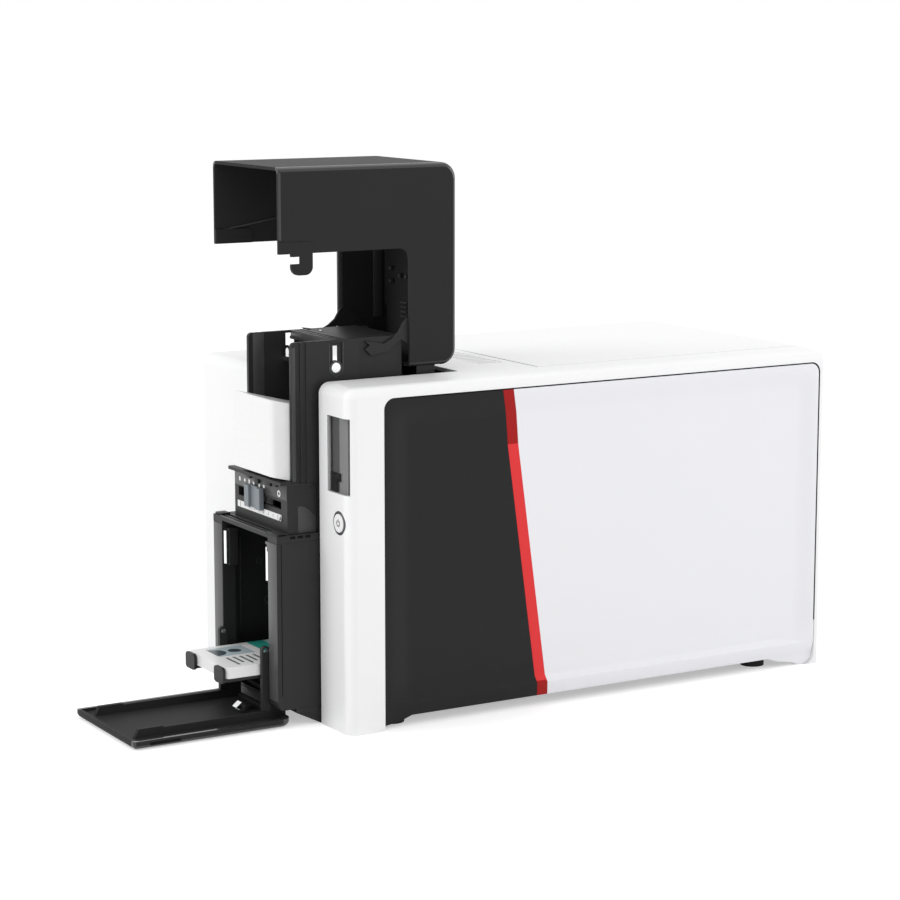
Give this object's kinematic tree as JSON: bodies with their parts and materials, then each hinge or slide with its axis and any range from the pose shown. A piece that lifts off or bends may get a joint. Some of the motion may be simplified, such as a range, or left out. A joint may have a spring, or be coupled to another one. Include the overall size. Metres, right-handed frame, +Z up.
{
  "type": "id card printer",
  "caption": "Desktop card printer with a raised hinged cover over its card feeder, a card thickness gauge, and an output hopper whose door is open.",
  "frame": {"origin": "floor level, under the middle of the machine's box as it stands with its door open", "axes": "+Z up, front faces -Y, +X to the right seen from the front"},
  "size_m": [0.205, 0.4816, 0.3415],
  "materials": {
    "white_shell": "smooth white moulding, satin gloss",
    "white_panel": "smooth cool white moulding, satin gloss",
    "black_panel": "smooth near-black moulding, satin gloss",
    "red_stripe": "smooth red moulding",
    "charcoal_cover": "fine spark-eroded charcoal",
    "black_module": "fine matte black",
    "grey_slider": "matte mid grey",
    "scale_label": "printed white film",
    "smoked_window": "smoked clear plastic",
    "display_grey": "two-tone grey",
    "button_cap": "white cap in a dark ring",
    "button_ring": "dark grey ring",
    "card_white": "stacked white plastic cards",
    "card_print": null,
    "steel_plate": "zinc-plated sheet",
    "black_plate": "black coated steel sheet",
    "bright_rod": "polished",
    "roller_rubber": "ground rubber on a steel shaft",
    "foot_rubber": "soft black rubber",
    "belt_rubber": "smooth drive belt",
    "head_metal": "print head heat sink",
    "ribbon_film": "wound colour film",
    "motor_can": "black motor body",
    "board_green": "circuit board",
    "socket_metal": "stamped socket shells"
  },
  "bodies": {
    "machine": {"right_housing": "white_shell", "left_housing": "white_shell", "top_front_plate": "white_shell", "top_rear_cover": "white_shell", "right_front_panel": "black_panel", "right_stripe": "red_stripe", "right_rear_panel_skin": "white_panel", "left_front_panel": "black_panel", "left_stripe": "red_stripe", "left_rear_panel_skin": "white_panel", "display_window": "smoked_window", "display_backing": "display_grey", "button_ring": "button_ring", "base_pan": "black_module", "chassis_right_plate": "black_plate", "chassis_left_plate": "black_plate", "cover_hinge_pins": "bright_rod", "rubber_feet": "foot_rubber", "feeder_right_wall": "black_module", "feeder_left_wall": "black_module", "blank_cards": "card_white", "feeder_floor": "black_module", "feeder_back_wall": "black_module", "feeder_deck": "black_module", "gauge_housing": "black_module", "gauge_scale_strip": "scale_label", "hopper_shell": "black_module", "hopper_roof": "black_module", "catch_rods": "bright_rod", "catch_rod_holders": "black_module", "flap_hinge_pins": "bright_rod", "card_guide": "steel_plate", "print_head_bracket": "steel_plate", "drive_motor": "motor_can", "drive_belts": "belt_rubber", "control_board": "board_green", "data_sockets": "socket_metal", "power_inlet": "black_module", "rear_panel": "steel_plate", "case_screws": "steel_plate"},
    "cover": {"cover_shell": "charcoal_cover", "cover_hook": "charcoal_cover", "hinge_arms": "black_module"},
    "flap": {"hopper_flap": "charcoal_cover", "flap_spring": "bright_rod", "flap_levers": "black_module"},
    "tray": {"card_tray": "black_module", "printed_cards": "card_print"},
    "weight": {"card_weight": "bright_rod"},
    "slider": {"gauge_slider": "grey_slider"},
    "button": {"power_button": "button_cap"},
    "feed": {"feed_roller": "roller_rubber"},
    "front_roller": {"front_transport_roller": "roller_rubber"},
    "platen": {"platen_roller": "roller_rubber"},
    "rear_roller": {"rear_transport_roller": "roller_rubber"},
    "drive": {"motor_pulley": "head_metal"},
    "supply": {"ribbon_supply_spool": "ribbon_film"},
    "takeup": {"ribbon_takeup_spool": "ribbon_film"},
    "head": {"print_head": "head_metal"}
  },
  "joints": [
    {"name": "cover_hinge", "type": "hinge", "parent": "machine", "child": "cover", "pos_m": [0, -0.03835, 0.22915], "axis": [1, 0, 0], "range_deg": [0, 90]},
    {"name": "flap_hinge", "type": "hinge", "parent": "machine", "child": "flap", "pos_m": [0, -0.1392, 0.015], "axis": [1, 0, 0], "range_deg": [-90, 0]},
    {"name": "tray_slide", "type": "slide", "parent": "machine", "child": "tray", "axis": [0, 1, 0], "range_m": [0, 0.027]},
    {"name": "weight_slide", "type": "slide", "parent": "machine", "child": "weight", "axis": [0, 0, 1], "range_m": [0, 0.01]},
    {"name": "gauge_slide", "type": "slide", "parent": "machine", "child": "slider", "axis": [1, 0, 0], "range_m": [-0.01, 0.028]},
    {"name": "power_press", "type": "slide", "parent": "machine", "child": "button", "axis": [0, 1, 0], "range_m": [0, 0.0012], "stiffness_N_per_m": 300},
    {"name": "feed_turn", "type": "hinge", "parent": "machine", "child": "feed", "pos_m": [0, -0.0842, 0.13166], "axis": [1, 0, 0], "continuous": true},
    {"name": "front_roller_turn", "type": "hinge", "parent": "machine", "child": "front_roller", "pos_m": [0, -0.0322, 0.116], "axis": [1, 0, 0], "continuous": true},
    {"name": "platen_turn", "type": "hinge", "parent": "machine", "child": "platen", "pos_m": [0, 0.0158, 0.116], "axis": [1, 0, 0], "continuous": true},
    {"name": "rear_roller_turn", "type": "hinge", "parent": "machine", "child": "rear_roller", "pos_m": [0, 0.0678, 0.116], "axis": [1, 0, 0], "continuous": true},
    {"name": "drive_turn", "type": "hinge", "parent": "machine", "child": "drive", "pos_m": [0, 0.1238, 0.06], "axis": [1, 0, 0], "continuous": true},
    {"name": "supply_turn", "type": "hinge", "parent": "machine", "child": "supply", "pos_m": [0, 0.0738, 0.168], "axis": [1, 0, 0], "continuous": true},
    {"name": "takeup_turn", "type": "hinge", "parent": "machine", "child": "takeup", "pos_m": [0, -0.0062, 0.168], "axis": [1, 0, 0], "continuous": true},
    {"name": "head_lift", "type": "slide", "parent": "machine", "child": "head", "axis": [0, 0, 1], "range_m": [0, 0.004]}
  ],
  "couplings": [
    {"joint": "tray_slide", "follows": "flap_hinge", "m_per_rad": -0.017188},
    {"joint": "front_roller_turn", "follows": "rear_roller_turn", "ratio": 1},
    {"joint": "platen_turn", "follows": "rear_roller_turn", "ratio": 1},
    {"joint": "drive_turn", "follows": "rear_roller_turn", "ratio": 1},
    {"joint": "takeup_turn", "follows": "supply_turn", "ratio": 1.5833}
  ]
}
